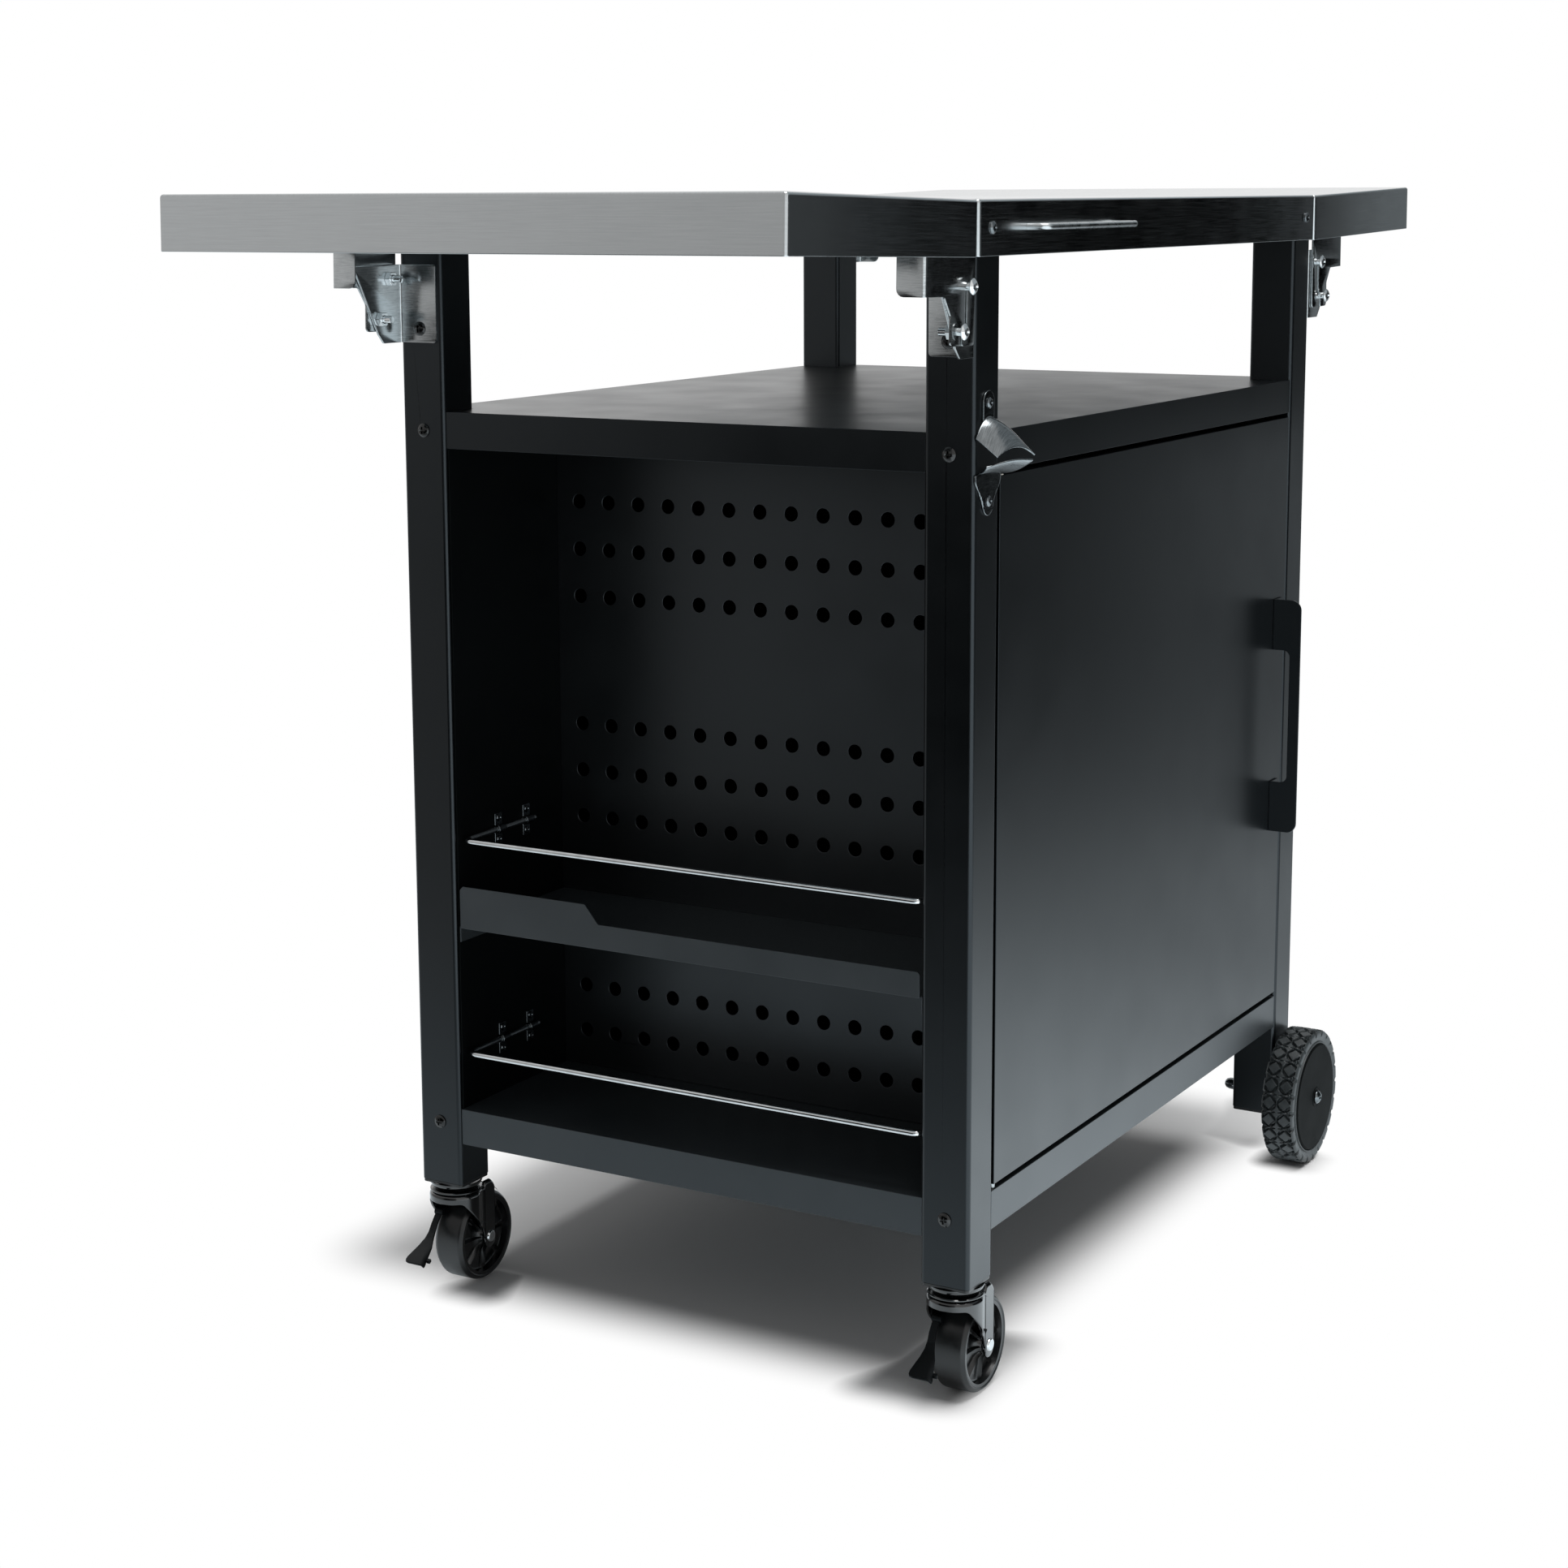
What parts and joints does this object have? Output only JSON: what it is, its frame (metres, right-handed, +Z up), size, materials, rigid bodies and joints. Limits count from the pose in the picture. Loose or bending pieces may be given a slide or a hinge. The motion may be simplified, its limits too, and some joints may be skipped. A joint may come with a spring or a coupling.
{
  "type": "plancha table",
  "caption": "Wheeled cooking station with a steel worktop, folding side leaves, a hinged cabinet door and an open side rack for bottles",
  "frame": {"origin": "on the floor, under the centre of the four legs", "axes": "+X to the right when facing the door, +Y from the door to the back, +Z up"},
  "size_m": [1.2308, 0.584, 0.9012],
  "materials": {
    "black_coat": "fine textured matt black powder coat",
    "stainless": "brushed stainless steel",
    "chrome": "bright plated steel",
    "black_plastic": "moulded black plastic",
    "black_rubber": "matt black rubber",
    "white_plastic": "natural bearing plastic"
  },
  "bodies": {
    "cart": {"leg_front_left": "black_coat", "leg_back_left": "black_coat", "leg_front_right": "black_coat", "leg_back_right": "black_coat", "leg_caps": "black_plastic", "upper_deck": "black_coat", "bottom_deck": "black_coat", "back_panel": "black_coat", "right_panel": "black_coat", "partition": "black_coat", "niche_wall_front": "black_coat", "niche_wall_back": "black_coat", "mid_shelf": "black_coat", "retaining_rods": "chrome", "rod_clips": "chrome", "main_top": "stainless", "wire_rail": "chrome", "bottle_opener": "stainless", "leg_bracket_fl": "stainless", "leg_bracket_bl": "stainless", "leg_bracket_fr": "stainless", "leg_bracket_br": "stainless", "pivot_bolts": "chrome", "stop_pins": "chrome", "bright_nuts": "chrome", "black_screws": "black_coat", "bright_screws": "chrome", "door_pins": "chrome", "catch_magnet": "black_coat", "caster_head_f": "black_coat", "caster_head_b": "black_coat", "wheel_bolt_f": "chrome", "wheel_bolt_b": "chrome"},
    "door": {"door_panel": "black_coat", "door_liner": "black_coat", "door_handle": "black_coat", "door_screws": "black_coat", "door_bushes": "white_plastic"},
    "leaf_left": {"leaf_left_top": "stainless", "leaf_left_plates": "stainless", "leaf_left_studs": "chrome"},
    "leaf_right": {"leaf_right_top": "stainless", "leaf_right_plates": "stainless", "leaf_right_studs": "chrome"},
    "fork_f": {"caster_fork_f": "black_coat", "caster_axle_f": "chrome"},
    "caster_roll_f": {"caster_wheel_f": "black_plastic", "caster_tyre_f": "black_rubber"},
    "pedal_f": {"caster_pedal_f": "black_coat"},
    "large_wheel_f": {"wheel_tyre_f": "black_rubber", "wheel_hub_f": "black_plastic"},
    "fork_b": {"caster_fork_b": "black_coat", "caster_axle_b": "chrome"},
    "caster_roll_b": {"caster_wheel_b": "black_plastic", "caster_tyre_b": "black_rubber"},
    "pedal_b": {"caster_pedal_b": "black_coat"},
    "large_wheel_b": {"wheel_tyre_b": "black_rubber", "wheel_hub_b": "black_plastic"}
  },
  "joints": [
    {"name": "door_swing", "type": "hinge", "parent": "cart", "child": "door", "pos_m": [-0.2944, -0.2465, 0.43], "axis": [0, 0, -1], "range_deg": [0, 110]},
    {"name": "leaf_left_fold", "type": "hinge", "parent": "cart", "child": "leaf_left", "pos_m": [-0.3595, 0, 0.835], "axis": [0, -1, 0], "range_deg": [0, 91.4]},
    {"name": "leaf_right_fold", "type": "hinge", "parent": "cart", "child": "leaf_right", "pos_m": [0.3595, 0, 0.835], "axis": [0, 1, 0], "range_deg": [0, 91.4]},
    {"name": "caster_swivel_front", "type": "hinge", "parent": "cart", "child": "fork_f", "pos_m": [-0.323, -0.2315, 0.088], "axis": [0, 0, 1], "continuous": true},
    {"name": "caster_spin_front", "type": "hinge", "parent": "fork_f", "child": "caster_roll_f", "pos_m": [-0.3, -0.2315, 0.0375], "axis": [0, 1, 0], "continuous": true},
    {"name": "brake_press_front", "type": "hinge", "parent": "fork_f", "child": "pedal_f", "pos_m": [-0.332, -0.2315, 0.064], "axis": [0, -1, 0], "range_deg": [0, 20]},
    {"name": "large_wheel_spin_front", "type": "hinge", "parent": "cart", "child": "large_wheel_f", "pos_m": [0.323, -0.27, 0.0625], "axis": [0, 1, 0], "continuous": true},
    {"name": "caster_swivel_back", "type": "hinge", "parent": "cart", "child": "fork_b", "pos_m": [-0.323, 0.2315, 0.088], "axis": [0, 0, 1], "continuous": true},
    {"name": "caster_spin_back", "type": "hinge", "parent": "fork_b", "child": "caster_roll_b", "pos_m": [-0.3, 0.2315, 0.0375], "axis": [0, 1, 0], "continuous": true},
    {"name": "brake_press_back", "type": "hinge", "parent": "fork_b", "child": "pedal_b", "pos_m": [-0.332, 0.2315, 0.064], "axis": [0, -1, 0], "range_deg": [0, 20]},
    {"name": "large_wheel_spin_back", "type": "hinge", "parent": "cart", "child": "large_wheel_b", "pos_m": [0.323, 0.27, 0.0625], "axis": [0, 1, 0], "continuous": true}
  ]
}
